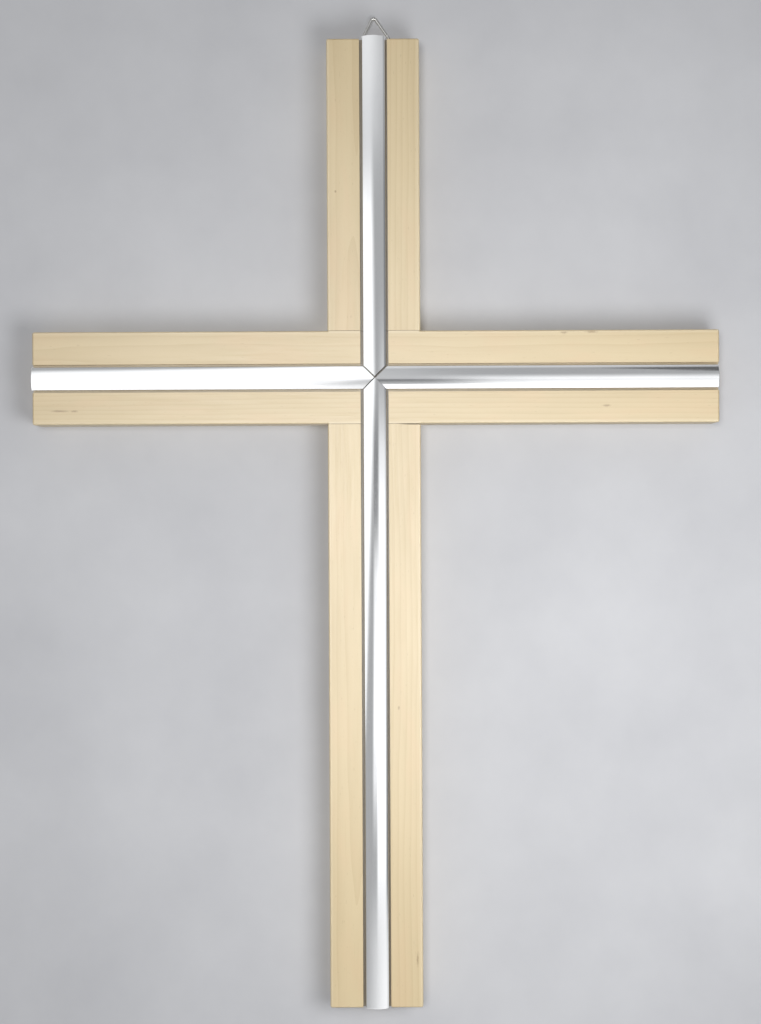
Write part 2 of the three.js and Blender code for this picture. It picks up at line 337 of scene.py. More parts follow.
ALUMINIUM = (0.93, 0.94, 0.95, 1)
HAZY_ALUMINIUM = (0.885, 0.895, 0.91, 1)
NICKEL = (0.56, 0.56, 0.55, 1)
DULL_NICKEL = (0.45, 0.445, 0.43, 1)
PIT_BROWN = (0.30, 0.28, 0.25, 1)
FOAM_WHITE = (0.66, 0.66, 0.64, 1)
FOAM_SHADE = (0.58, 0.57, 0.54, 1)
FOAM_CELL = (0.4, 0.39, 0.37, 1)


def fleck_mask(tree, flecks, along):
    """Where the short dark mineral flecks are. Each is (x, z, length) in millimetres."""
    place = place_in_mm(tree)
    ragged = noise_field(tree, place, 1.4)
    total = 0.0
    for x, z, length in flecks:
        stretch = [1 / FLECK_THICKNESS, 0.05, 1 / FLECK_THICKNESS]
        stretch["XYZ".index(along)] = 1 / length
        offset = node(tree, "ShaderNodeVectorMath", {0: place, 1: (-x, -FRONT / MM, -z)},
                      operation="ADD")
        scaled = node(tree, "ShaderNodeVectorMath", {0: offset.outputs[0], 1: stretch},
                      operation="MULTIPLY")
        reach = node(tree, "ShaderNodeVectorMath", {0: scaled.outputs[0]}, operation="LENGTH")
        spread = math_node(tree, "ADD", reach.outputs["Value"], ragged)
        spot = remap(tree, spread, 1.55, 0.6, smooth=True)
        total = math_node(tree, "MAXIMUM", spot, total, clamp=True)
    return total


def painted_groove_shade(tree):
    """Painted shade in the grooves: 1 on the floor and left wall of the groove in the
    upright, less in the other groove, and 0 elsewhere."""
    place = node(tree, "ShaderNodeSeparateXYZ", {0: place_in_mm(tree)})
    half = GROOVE_WIDTH / 2 / MM - 0.05
    inside = []
    for axis, shift, amount in ((0, GROOVE_SHIFT_X, 1.0), (2, GROOVE_SHIFT_Z, 0.35)):
        off = math_node(tree, "SUBTRACT", place.outputs[axis], shift / MM - 0.1)
        near = math_node(tree, "LESS_THAN", math_node(tree, "ABSOLUTE", off), half)
        inside.append(math_node(tree, "MULTIPLY", near, amount))
    below = remap(tree, place.outputs[1], FRONT / MM + 0.2, FRONT / MM + 1.0)
    above_floor = math_node(tree, "LESS_THAN", place.outputs[1], GROOVE_FLOOR / MM + 0.1)
    either = math_node(tree, "MAXIMUM", *inside)
    return math_node(tree, "MULTIPLY", either, math_node(tree, "MULTIPLY", below, above_floor))


def painted_edge_highlight(tree, along):
    """Painted highlight on the rounded front edges along the beam: 1 there, and 0 elsewhere."""
    place = node(tree, "ShaderNodeSeparateXYZ", {0: place_in_mm(tree)})
    across = place.outputs[{"X": 2, "Z": 0}[along]]
    half = HALF_WIDTH / MM
    outer = remap(tree, math_node(tree, "ABSOLUTE", across), half - 1.9, half - 0.6, smooth=True)
    front = math_node(tree, "LESS_THAN", place.outputs[1], FRONT / MM + 1.0)
    return math_node(tree, "MULTIPLY", outer, front)


def growth_rings(tree, along, pith):
    """The late wood of growth rings round the pith, drawn out along the grain."""
    shift = [-middle for middle in pith]
    rings = node(tree, "ShaderNodeTexWave", {
        "Vector": place_in_mm(tree, along_axis(along, 0.09), shift), "Scale": 0.13,
        "Distortion": 8.5, "Detail": 3.0, "Detail Scale": 0.35, "Detail Roughness": 0.55,
    }, wave_type="RINGS", rings_direction=along, wave_profile="SAW").outputs["Fac"]
    return math_node(tree, "POWER", rings, 3.0)


def board_tone(tree, along):
    """Broad, soft changes of tone along the grain, as a colour to multiply by."""
    broad = noise_field(tree, place_in_mm(tree, along_axis(along, 0.12)), 0.055, detail=2)
    tone = remap(tree, broad, 0.3, 0.7, 0.93, 1.05)
    return node(tree, "ShaderNodeCombineColor", {
        0: tone, 1: math_node(tree, "POWER", tone, 1.15), 2: math_node(tree, "POWER", tone, 1.5),
    }).outputs[0]


def end_mask(tree, along):
    """Where the surface is cut across the fibres: 1 there, and 0 elsewhere."""
    normal = node(tree, "ShaderNodeTexCoord").outputs["Normal"]
    across = node(tree, "ShaderNodeVectorMath", {0: normal, 1: LENGTHWISE[along]},
                  operation="DOT_PRODUCT").outputs["Value"]
    return remap(tree, math_node(tree, "ABSOLUTE", across), 0.6, 0.95, smooth=True)


def maple(name, along, pith, flecks):
    """Pale maple with a matt clear finish. along is the grain's axis, pith is a point on the
    middle line of the growth rings in millimetres, and flecks are as in fleck_mask."""
    material, tree, shader = new_material(name)
    late = growth_rings(tree, along, pith)
    colour = lay_over(tree, EARLY_WOOD, LATE_WOOD, late, 0.5)
    colour = mix_colour(tree, 1.0, colour, board_tone(tree, along), "MULTIPLY")

    # Soft warmer blotches.
    blotch = noise_field(tree, place_in_mm(tree, along_axis(along, 0.3)), 0.09, detail=2)
    colour = mix_colour(tree, remap(tree, blotch, 0.5, 0.72, 0, 0.3, smooth=True), colour,
                        WARM_BLOTCH)

    # Fine fibres and short rays.
    fibre = noise_field(tree, place_in_mm(tree, along_axis(along, 0.018)), 2.2, detail=4,
                        roughness=0.62)
    fibre_line = remap(tree, fibre, 0.56, 0.72)
    colour = lay_over(tree, colour, LATE_WOOD, fibre_line, 0.2)
    ray = noise_field(tree, place_in_mm(tree, along_axis(along, 0.16)), 1.9, detail=2)
    colour = lay_over(tree, colour, PORE_BROWN, remap(tree, ray, 0.68, 0.75), 0.3)

    # A painted highlight pales the long front edges, and painted shade darkens the grooves.
    colour = lay_over(tree, colour, EDGE_HIGHLIGHT, painted_edge_highlight(tree, along), 0.3)
    colour = lay_over(tree, colour, PORE_BROWN, fleck_mask(tree, flecks, along), 0.75)
    colour = lay_over(tree, colour, GROOVE_SHADE, painted_groove_shade(tree), 0.8)

    end = end_mask(tree, along)
    pores = noise_field(tree, place_in_mm(tree), 3.5, detail=2)
    end_colour = lay_over(tree, END_GRAIN, END_LATE_WOOD, late, 0.5)
    end_colour = mix_colour(tree, remap(tree, pores, 0.58, 0.7, 0, 0.45), end_colour, PORE_BROWN)
    colour = lay_over(tree, colour, end_colour, end, 0.75)

    tree.links.new(colour, shader.inputs["Base Color"])
    tree.links.new(remap(tree, fibre, 0.3, 0.7, 0.42, 0.49), shader.inputs["Roughness"])
    shader.inputs["IOR"].default_value = VARNISH_IOR
    shader.inputs["Specular IOR Level"].default_value = VARNISH_SHINE
    height = math_node(tree, "SUBTRACT", math_node(tree, "MULTIPLY", pores, end),
                       math_node(tree, "MULTIPLY", fibre_line, 0.6))
    add_bump(tree, shader, height, 0.35, 0.05 * MM)
    return material


def polished_aluminium(name, along):
    """Polished extrusion: near mirror, with faint die lines along it and a few haze patches."""
    material, tree, shader = new_material(name)
    die_lines = noise_field(tree, place_in_mm(tree, along_axis(along, 0.004)), 3.2, roughness=0.6)
    haze = noise_field(tree, place_in_mm(tree, along_axis(along, 0.25)), 0.12)
    scratches = noise_field(tree, place_in_mm(tree, along_axis(along, 0.05)), 6.0, detail=1)
    rough = math_node(tree, "ADD", remap(tree, haze, 0.35, 0.7, 0.10, 0.15),
                      remap(tree, scratches, 0.66, 0.8, 0.0, 0.12))
    colour = mix_colour(tree, remap(tree, haze, 0.3, 0.7), ALUMINIUM, HAZY_ALUMINIUM)
    tree.links.new(colour, shader.inputs["Base Color"])
    tree.links.new(rough, shader.inputs["Roughness"])
    shader.inputs["Metallic"].default_value = 1.0
    add_bump(tree, shader, die_lines, 0.08, 0.01 * MM)
    return material


def nickel_plate(name):
    """Nickel-plated steel wire and strip: soft gloss, a faint cloudiness and tiny pits."""
    material, tree, shader = new_material(name)
    place = place_in_mm(tree)
    cloud = noise_field(tree, place, 0.7, detail=4)
    pits = noise_field(tree, place, 7.0, detail=2)
    colour = mix_colour(tree, remap(tree, cloud, 0.3, 0.7), NICKEL, DULL_NICKEL)
    colour = mix_colour(tree, remap(tree, pits, 0.68, 0.76, 0, 0.6), colour, PIT_BROWN)
    tree.links.new(colour, shader.inputs["Base Color"])
    tree.links.new(remap(tree, cloud, 0.3, 0.7, 0.32, 0.46), shader.inputs["Roughness"])
    shader.inputs["Metallic"].default_value = 1.0
    add_bump(tree, shader, math_node(tree, "ADD", cloud, pits), 0.15, 0.02 * MM)
    return material


def foam(name):
    """Closed-cell bonding tape: matt, off-white, with fine cells on its cut edges."""
    material, tree, shader = new_material(name)
    place = place_in_mm(tree)
    cells = node(tree, "ShaderNodeTexVoronoi", {"Vector": place, "Scale": 3.4}).outputs["Distance"]
    patch = noise_field(tree, place, 0.4)
    colour = mix_colour(tree, remap(tree, patch, 0.3, 0.7), FOAM_WHITE, FOAM_SHADE)
    colour = mix_colour(tree, remap(tree, cells, 0.35, 0.1, 0, 0.4), colour, FOAM_CELL)
    tree.links.new(colour, shader.inputs["Base Color"])
    tree.links.new(remap(tree, cells, 0.0, 0.6, 0.95, 0.8), shader.inputs["Roughness"])
    add_bump(tree, shader, cells, 0.5, 0.08 * MM)
    return material


# ---------------------------------------------------------------- beams

def cross_outline(inset):
    """The cross's outline moved inwards by inset, as (x, z) points. Outer corners are rounded,
    and inner corners stay sharp."""
    top, bottom, left, right, half = BEAM_HIGH.z, BEAM_LOW.z, BAR_LOW.x, BAR_HIGH.x, HALF_WIDTH
    corners = [
        (half, top), (half, half), (right, half), (right, -half), (half, -half), (half, bottom),
        (-half, bottom), (-half, -half), (left, -half), (left, half), (-half, half), (-half, top),
    ]
    radius = END_CORNER_RADIUS - inset
    outline = []
    for i, corner in enumerate(corners):
        here = Vector(corner)
        before = (Vector(corners[i - 1]) - here).normalized()
        after = (Vector(corners[(i + 1) % len(corners)]) - here).normalized()
        inner = before.cross(after) < 0
        diagonal = before + after
        if inner:
            outline.append(here - diagonal * inset)
        else:
            centre = here + diagonal * END_CORNER_RADIUS
            start = math.atan2(-after.y, -after.x)
            outline.extend(Vector(p) for p in arc(centre, radius, start, start - math.pi / 2, 4))
    return outline


def eased_blank():
    """The whole cross as one solid with rounded edges, which the beams are parted from."""
    outlines = []
    for step in range(EASE_STEPS + 1):
        angle = math.pi / 2 * step / EASE_STEPS
        inset = EASE_RADIUS * (1 - math.sin(angle))
        depth = EASE_RADIUS * (1 - math.cos(angle))
        outlines.append((inset, FRONT + depth))
    outlines += [(inset, FRONT + BACK - y) for inset, y in reversed(outlines)]
    return loft("blank", [[(p.x, y, p.y) for p in cross_outline(inset)] for inset, y in outlines])


def groove_cutter(along):
    if along == "Z":
        left, right = GROOVE_SHIFT_X - GROOVE_WIDTH / 2, GROOVE_SHIFT_X + GROOVE_WIDTH / 2
        return block((left, FRONT - PAST, BEAM_LOW.z - PAST),
                     (right, GROOVE_FLOOR, BEAM_HIGH.z + PAST))
    lower, upper = GROOVE_SHIFT_Z - GROOVE_WIDTH / 2, GROOVE_SHIFT_Z + GROOVE_WIDTH / 2
    return block((BAR_LOW.x - PAST, FRONT - PAST, lower), (BAR_HIGH.x + PAST, GROOVE_FLOOR, upper))


def pilot_cutter(drop):
    circle = arc((0, -drop), PILOT_RADIUS, 0, 2 * math.pi, 32)[:-1]
    ends = (-PILOT_DEPTH, PAST)
    return loft("cutter", [[(x, y, z) for x, z in circle] for y in ends], hanger_place())


def open_shoulder_cutter():
    """A thin wedge: the lower right shoulder has a small gap that opens towards the edge."""
    inner, outer = 0.45 * HALF_WIDTH, HALF_WIDTH + PAST
    seam = BAR_LOW.z - SHOULDER_GAP
    wedge = [(inner, seam + GLUE_LINE), (outer, seam + GLUE_LINE), (outer, seam - 0.5 * MM),
             (0.8 * HALF_WIDTH, seam - 0.38 * MM), (0.6 * HALF_WIDTH, seam - 0.18 * MM)]
    return loft("cutter", [[(x, y, z) for x, z in wedge] for y in (FRONT - PAST, LAP)])


def upright_beam():
    shoulder = HALF_WIDTH + SHOULDER_GAP
    beam = eased_blank()
    beam.name = "upright_wood"
    combine(beam, block((-HALF_WIDTH, FRONT - PAST, BEAM_LOW.z - PAST),
                        (HALF_WIDTH, PAST, BEAM_HIGH.z + PAST)), "INTERSECT")
    combine(beam, block((-HALF_WIDTH - PAST, FRONT - PAST, -shoulder),
                        (HALF_WIDTH + PAST, LAP + GLUE_LINE / 2, shoulder)))
    combine(beam, groove_cutter("Z"))
    combine(beam, open_shoulder_cutter())
    for drop in SCREW_DROPS.values():
        combine(beam, pilot_cutter(drop))
    return shade(soften_edges(beam, ARRIS))


def crossbar_beam():
    shoulder = HALF_WIDTH + SHOULDER_GAP
    beam = eased_blank()
    beam.name = "crossbar_wood"
    combine(beam, block((BAR_LOW.x - PAST, FRONT - PAST, -HALF_WIDTH),
                        (BAR_HIGH.x + PAST, PAST, HALF_WIDTH)), "INTERSECT")
    combine(beam, block((-shoulder, LAP - GLUE_LINE / 2, -HALF_WIDTH - PAST),
                        (shoulder, PAST, HALF_WIDTH + PAST)))
    combine(beam, groove_cutter("Z"))
    combine(beam, groove_cutter("X"))
    return shade(soften_edges(beam, ARRIS))


def beams():
    upright = upright_beam()
    upright.data.materials.append(maple("maple_upright", "Z", (-9, -34, 0), [
        (21.2, -301, 4.8), (-19.5, 96, 0.9), (12.0, -171, 1.3),
    ]))
    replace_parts(upright, "upright_beam")
    crossbar = crossbar_beam()
    crossbar.data.materials.append(maple("maple_crossbar", "X", (0, -29, 12), [
        (-162.3, -16.9, 6.5), (-155, -17.0, 2.4), (112.6, 22.9, 4.0), (98.3, 22.6, 2.5),
        (120.2, -15.2, 3.0),
    ]))
    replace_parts(crossbar, "crossbar_beam")
    for beam in (upright, crossbar):
        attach(beam, "cross")


# ---------------------------------------------------------------- inlay

def strip_section(half, height, inset=0.0):
    """The strip's section as (u, h) points, moved inwards by inset. It goes round from the middle
    of the flat back, past the straight side at +u, over the dome, and down the side at -u."""
    radius = (half ** 2 + STRIP_CROWN ** 2) / (2 * STRIP_CROWN)
    centre = height - radius
    side = half - inset
    corner = STRIP_CORNER - inset
    # The dome meets a small corner arc that also touches the straight side.
    reach = side - corner
    lift = math.sqrt((radius - inset - corner) ** 2 - reach ** 2)
    lean = math.atan2(lift, reach)
    right = [(half * 0.5, inset)]
    right += arc((side - corner, inset + corner), corner, -math.pi / 2, 0, 3)
    right += arc((reach, centre + lift), corner, 0, lean, 4)
    right += arc((0, centre), radius - inset, lean, math.pi / 2, 30)[1:-1]
    left = [(-u, h) for u, h in reversed(right)]
    return [(0, inset), *right, (0, height - inset), *left]


def strip_mesh(name, half, height, length, gaps, back, place):
    """A domed strip along +Z from a right-angled point at the crossing's centre. gaps is the
    mitre gap at its +u side and at its -u side."""
    def start(u):
        gap = gaps[0] if u > 0 else gaps[1] if u < 0 else max(gaps)
        return abs(u) + gap * math.sqrt(2) / 2

    section = strip_section(half, height)
    count = 48
    rows = []
    for i in range(count + 1):
        share = (i / count) ** 1.3
        rows.append([(u, h, start(u) + (length - DEBURR - start(u)) * share) for u, h in section])
    for i in range(1, 4):
        angle = math.pi / 2 * i / 3
        inset = DEBURR * (1 - math.cos(angle)) * 0.8
        at = length - DEBURR + DEBURR * math.sin(angle)
        rows.append([(u, h, at) for u, h in strip_section(half, height, inset)])

    bm = bmesh.new()
    rings = [[bm.verts.new((u, back - h, w)) for u, h, w in row] for row in rows]
    bridge(bm, rings)
    top = len(section) // 2
    first = rings[0]
    bm.faces.new(first[:top + 1])
    bm.faces.new([first[0], *reversed(first[top:])])
    bm.faces.new(rings[-1])
    bm.transform(place)
    return shade(new_object(name, bm), 28)


def inlay():
    """Four strips. Each lies along its arm. Its +u side is clockwise of it, seen from in front."""
    vertical = polished_aluminium("aluminium_v", "Z")
    horizontal = polished_aluminium("aluminium_h", "X")
    sides = {"upper": 0, "right": 90, "lower": 180, "left": 270}
    joints = {"upper": ("upper_right", "upper_left"), "right": ("lower_right", "upper_right"),
              "lower": ("lower_left", "lower_right"), "left": ("upper_left", "lower_left")}
    low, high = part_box("inlay_strip_upper")
    half, height = (high.x - low.x) / 2, high.y - low.y
    side_low, side_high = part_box("inlay_strip_right")
    centre = Vector(((low.x + high.x) / 2, 0, (side_low.z + side_high.z) / 2))
    for side, turn in sides.items():
        place = Matrix.Translation(centre) @ Matrix.Rotation(math.radians(turn), 4, "Y")
        direction = place.to_3x3() @ Vector((0, 0, 1))
        low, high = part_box(f"inlay_strip_{side}")
        length = max((corner - centre).dot(direction) for corner in (low, high))
        gaps = [MITRE_GAPS[joint] * MM for joint in joints[side]]
        strip = strip_mesh(f"strip_{side}", half, height, length, gaps, high.y, place)
        strip.data.materials.append(vertical if side in ("upper", "lower") else horizontal)
        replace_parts(strip, f"inlay_strip_{side}")
        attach(strip, "cross")


def tape_mesh(name, low, high):
    """A soft flat tape with rounded long edges that wander a little, as cut tape does."""
    size = high - low
    along_z = size.z > size.x
    length, width, thick = (size.z if along_z else size.x), (size.x if along_z else size.z), size.y
    middle = (low + high) / 2
    steps = int(length / (2 * MM))
    outlines = []
    for i in range(steps + 1):
        t = length * (i / steps - 0.5)
        wander = noise.noise(Vector((t / (9 * MM), middle.x * 90, middle.z * 90))) * 0.25 * MM
        half = width / 2 - 0.25 * MM + wander
        bulge = thick / 2 * 0.96
        edge = arc((half - bulge, 0), bulge, -math.pi / 2, math.pi / 2, 5)
        section = edge + [(-u, -h) for u, h in edge]
        outlines.append([(u, h, t) if along_z else (t, h, u) for u, h in section])
    return loft(name, outlines, Matrix.Translation(middle))


def tapes():
    material = foam("foam_tape")
    for side in ("upper", "right", "lower", "left"):
        low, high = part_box(f"inlay_tape_{side}")
        tape = shade(tape_mesh(f"tape_{side}", low, high))
        tape.data.materials.append(material)
        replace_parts(tape, f"inlay_tape_{side}")
        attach(tape, "cross")


# ---------------------------------------------------------------- hanger

def hanger_place():
    """From the hanger's own frame to the object's frame."""
    x_axis = -Vector(HINGE["axis"]).normalized()
    z_axis = x_axis.cross(Vector((0, 1, 0)))
    matrix = Matrix((x_axis, (0, 1, 0), z_axis)).transposed().to_4x4()
    hinge = HINGE["pos_m"]
    return Matrix.Translation((hinge[0], 0, hinge[2])) @ matrix


def ring_line():
    """The wire's centreline as (x, z) points: a rounded triangle that is open at its base."""
    radius = RING_CORNER_RADIUS
    inset = radius * math.sqrt(3)
    half = RING_SIDE / 2
    apex = RING_SIDE * math.sqrt(3) / 2
    turn = math.pi / 6
    right = [(RING_END_GAP / 2 + (half - inset - RING_END_GAP / 2) * i / 12, 0) for i in range(12)]
    right += arc((half - inset, radius), radius, -math.pi / 2, turn, 12)
    top = arc((0, apex - 2 * radius), radius, turn, math.pi / 2, 6)
    foot = right[-1]
    right += [(foot[0] + (top[0][0] - foot[0]) * i / 14, foot[1] + (top[0][1] - foot[1]) * i / 14)
              for i in range(1, 14)]
    right += top
    return right + [(-x, z) for x, z in reversed(right[:-1])]


def ring_mesh():
    hinge_y = HINGE["pos_m"][1]
    line = [Vector((x, hinge_y, z)) for x, z in ring_line()]
    sides = 28
    outlines = []
    for i, point in enumerate(line):
        along = (line[min(i + 1, len(line) - 1)] - line[max(i - 1, 0)]).normalized()
        out = along.cross(Vector((0, 1, 0))).normalized()
        circle = arc((0, 0), WIRE_RADIUS, 0, 2 * math.pi, sides)[:-1]
        outlines.append((point, along, [out * a + Vector((0, b, 0)) for a, b in circle]))
    rows = [[point + offset for offset in offsets] for point, along, offsets in outlines]
    ease = 0.12 * MM
    point, along, offsets = outlines[0]
    rows[0] = [point + offset * (1 - ease / WIRE_RADIUS) for offset in offsets]
    rows.insert(1, [point + along * ease + offset for offset in offsets])
    point, along, offsets = outlines[-1]
    rows[-1] = [point + offset * (1 - ease / WIRE_RADIUS) for offset in offsets]
    rows.insert(-1, [point - along * ease + offset for offset in offsets])
    return shade(loft("ring_wire", rows, hanger_place()))


def strap_line():
    """The strap's middle line from the side, as (y, z) points: up the inner leaf, round the
    loop, and down the outer leaf."""
    hinge_y = HINGE["pos_m"][1]
    inner = STRAP_TO_WOOD + STRAP_THICKNESS / 2
    outer = inner + STRAP_THICKNESS + LEAF_GAP
    loop = hinge_y - inner
    easing_y = outer + EASING_RADIUS
    reach = loop + EASING_RADIUS
    easing_z = -math.sqrt(reach ** 2 - (hinge_y - easing_y) ** 2)
    meet = math.atan2(easing_z, easing_y - hinge_y)
    line = [(inner, -STRAP_LEAF + STRAP_LEAF * i / 20) for i in range(20)]
    line += arc((hinge_y, 0), loop, math.pi, meet, 64)
    line += arc((easing_y, easing_z), EASING_RADIUS, meet + math.pi, math.pi, 12)[1:]
    return line + [(outer, easing_z - (STRAP_LEAF + easing_z) * i / 20) for i in range(1, 21)]


def strap_sheet():
    line = [Vector(point) for point in strap_line()]
    left, right = [], []
    for i, point in enumerate(line):
        along = (line[min(i + 1, len(line) - 1)] - line[max(i - 1, 0)]).normalized()
        out = Vector((-along.y, along.x)) * STRAP_THICKNESS / 2
        left.append(point + out)
        right.append(point - out)
    outline = left + right[::-1]
    reach = STRAP_WIDTH / 2 + PAST
    return loft("strap_plate", [[(x, p.x, p.y) for p in outline] for x in (-reach, reach)])


def strap_face():
    """Seen from behind: straight sides, two rounded lower corners, and room for the loop."""
    half, corner = STRAP_WIDTH / 2, STRAP_CORNER_RADIUS
    face = [(half, PAST), (-half, PAST)]
    face += arc((corner - half, corner - STRAP_LEAF), corner, math.pi, math.pi * 1.5, 12)
    face += arc((half - corner, corner - STRAP_LEAF), corner, math.pi * 1.5, math.pi * 2, 12)
    return loft("cutter", [[(x, y, z) for x, z in face] for y in (-PAST, 2 * PAST)])


def strap_mesh():
    plate = combine(strap_sheet(), strap_face(), "INTERSECT")
    for drop in SCREW_DROPS.values():
        circle = arc((0, -drop), PILOT_RADIUS, 0, 2 * math.pi, 40)[:-1]
        combine(plate, loft("cutter", [[(x, y, z) for x, z in circle] for y in (-PAST, PAST)]))
    plate.data.transform(hanger_place())
    return shade(soften_edges(plate, 0.12 * MM, 3))


def head_profile():
    """A pan head's outline as (radius, height) points, from its seat up to its middle."""
    rise = HEAD_HEIGHT - HEAD_RIM
    profile = [(HEAD_RADIUS - 0.1 * MM, 0), (HEAD_RADIUS, 0.1 * MM)]
    for i in range(13):
        angle = math.pi / 2 * i / 12
        profile.append((max(HEAD_RADIUS * math.cos(angle), 0.02 * MM),
                        HEAD_RIM + rise * math.sin(angle)))
    return profile


def thread_radius(angle, depth):
    """The screw's radius at an angle round it and at a depth below its head."""
    core = SCREW_ROOT_RADIUS
    tip = SCREW_LENGTH - depth
    if tip < SCREW_TIP:
        core *= (tip / SCREW_TIP) ** 0.7
    if depth < SCREW_PLAIN:
        return core
    phase = (depth / THREAD_PITCH - angle / (2 * math.pi)) % 1.0
    ridge = max(0.0, 1 - abs(phase - 0.5) / 0.36)
    fade = min(1.0, (depth - SCREW_PLAIN) / THREAD_PITCH, tip / (0.8 * SCREW_TIP))
    return core + (SCREW_RADIUS - SCREW_ROOT_RADIUS) * ridge * fade


def screw_body():
    """Head, shank, helical thread and point, as one lofted solid along Y with its head on +Y."""
    sides = 40
    angles = [2 * math.pi * i / sides for i in range(sides)]
    outlines = []
    steps = 150
    for i in range(steps, -1, -1):
        depth = (SCREW_LENGTH - 0.05 * MM) * i / steps
        outlines.append([(thread_radius(a, depth), -depth, a) for a in angles])
    outlines += [[(radius, height, a) for a in angles] for radius, height in head_profile()]
    return loft("screw", [[(r * math.cos(a), y, r * math.sin(a)) for r, y, a in outline]
                          for outline in outlines])


def recess_cutter():
    """A cross recess whose wings narrow towards the bottom."""
    def outline(half_length, half_width, y):
        points = []
        for quarter in range(4):
            turn = Matrix.Rotation(math.pi / 2 * quarter, 2)
            for corner in ((half_length, -half_width), (half_length, half_width),
                           (half_width, half_width)):
                x, z = turn @ Vector(corner)
                points.append((x, y, z))
        return points

    return loft("cutter", [outline(0.55 * MM, 0.2 * MM, HEAD_HEIGHT - RECESS_DEPTH),
                           outline(1.55 * MM, 0.34 * MM, HEAD_HEIGHT + 0.3 * MM)])


def screw_mesh(place, drop, turn):
    screw = combine(screw_body(), recess_cutter())
    screw.name = f"screw_{place}"
    seat = STRAP_TO_WOOD + 2 * STRAP_THICKNESS + LEAF_GAP
    screw.data.transform(hanger_place() @ Matrix.Translation((0, seat, -drop))
                         @ Matrix.Rotation(turn, 4, "Y"))
    return shade(screw, 30)


def hanger():
    steel = nickel_plate("nickel_plate")
    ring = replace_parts(ring_mesh(), "hanger_ring")
    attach(ring, "ring")
    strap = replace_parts(strap_mesh(), "hanger_strap")
    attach(strap, "cross")
    pieces = [ring, strap]
    for place, drop in SCREW_DROPS.items():
        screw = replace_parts(screw_mesh(place, drop, SCREW_TURNS[place]), f"hanger_screw_{place}")
        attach(screw, "cross")
        pieces.append(screw)
    for piece in pieces:
        piece.data.materials.append(steel)


# ---------------------------------------------------------------- stage, light and camera

WALL_GAP = 0.2 * MM  # between the hanger and the wall
STAGE_REACH = 3.0
FLOOR_DROP = 0.75  # below the lower end
DOME_RADIUS = 0.97
PANEL_STEP = 0.004  # no two panels may coincide
CARD_RADIUS = 0.93 * DOME_RADIUS
CARD_GLOW = 0.12
SOFTBOX_BEHIND_RADIUS = 1.3
FLOOR_PAINTS = (0.72, 0.72, 0.71, 1), (0.68, 0.68, 0.68, 1)
WALL_PAINTS = (0.58, 0.585, 0.605, 1), (0.51, 0.515, 0.537, 1)
SKY_COLOUR = (0.99, 1.0, 1.02, 1)
SKY_STRENGTH = 0.22
SOFTBOX = 0.8  # how strongly a softbox glows
ROOM = 0.2  # and the grey room between the softboxes
LAMP_AIM = (0.03, 0, -0.1)
SHEEN_PLACE = (-0.10, -1.2, -0.017)
FILL_PLACE = (0.178, -0.45, -0.18)
FLOOR_LIGHT_PLACE = (0, -0.5, 1.5)
FLOOR_LIGHT_AIM = (0, 0, -1.1)
CAMERA_PLACE = (0.0030, -0.868, -0.0697)
CAMERA_LENS = 57.85
CAMERA_ROLL = 0.265  # in degrees


def plane(name, corners, material):
    bm = bmesh.new()
    bm.faces.new([bm.verts.new(corner) for corner in corners])
    obj = mesh_object(name, bm)
    obj.data.materials.append(material)
    return obj


def matt_paint(name, first, second, one_sided=False):
    """Plain paint with a faint cloudiness. A one-sided one is clear from behind."""
    material, tree, shader = new_material(name)
    cloud = noise_field(tree, place_in_mm(tree), 0.010, detail=5, roughness=0.6)
    colour = mix_colour(tree, remap(tree, cloud, 0.3, 0.7), first, second)
    tree.links.new(colour, shader.inputs["Base Color"])
    shader.inputs["Roughness"].default_value = 0.9
    shader.inputs["Specular IOR Level"].default_value = 0.1
    if one_sided:
        back = node(tree, "ShaderNodeNewGeometry").outputs["Backfacing"]
        clear = node(tree, "ShaderNodeBsdfTransparent")
        mixed = node(tree, "ShaderNodeMixShader", {0: back, 1: shader.outputs[0],
                                                   2: clear.outputs[0]})
        tree.links.new(mixed.outputs[0], tree.nodes["Material Output"].inputs["Surface"])
    return material


def stage():
    """A pale floor, and the pale grey wall that the cross hangs on, which can't be seen from
    behind."""
    floor_z = cad_box[0].z - FLOOR_DROP
    wall_y = cad_box[1].y + WALL_GAP
    reach = STAGE_REACH
    floor = plane("floor", [(-reach, -reach, floor_z), (reach, -reach, floor_z),
                            (reach, reach, floor_z), (-reach, reach, floor_z)],
                  matt_paint("floor_paint", *FLOOR_PAINTS))
    floor.visible_diffuse = False
    wall = plane("wall", [(-reach, wall_y, floor_z), (reach, wall_y, floor_z),
                          (reach, wall_y, reach), (-reach, wall_y, reach)],
                 matt_paint("wall_paint", *WALL_PAINTS, one_sided=True))
    wall.visible_diffuse = False
    wall.visible_glossy = False
    wall.visible_transmission = False
    wall.visible_shadow = False


def ramp(value, low, high):
    """0 below low, 1 above high, and smooth in between."""
    share = min(1.0, max(0.0, (value - low) / (high - low)))
    return share * share * (3 - 2 * share)


def glow_material(name, strength):
    """Light that is added to what is behind it, as strong as the mesh's glow attribute says."""
    material, tree, surface = empty_material(name)
    glow = node(tree, "ShaderNodeAttribute", attribute_name="glow")
    power = math_node(tree, "MULTIPLY", glow.outputs["Fac"], strength)
    light = node(tree, "ShaderNodeEmission", {"Color": (1, 1, 1, 1), "Strength": power})
    clear = node(tree, "ShaderNodeBsdfTransparent")
    both = node(tree, "ShaderNodeAddShader", {0: light.outputs[0], 1: clear.outputs[0]})
    tree.links.new(both.outputs[0], surface)
    return material


def on_dome(azimuth, elevation, radius):
    """The place at these angles, in degrees, on a sphere round the crossing. Azimuth 0 is
    straight in front, and grows to +X."""
    a, e = math.radians(azimuth), math.radians(elevation)
    return (radius * math.sin(a) * math.cos(e), -radius * math.cos(a) * math.cos(e),
            radius * math.sin(e))


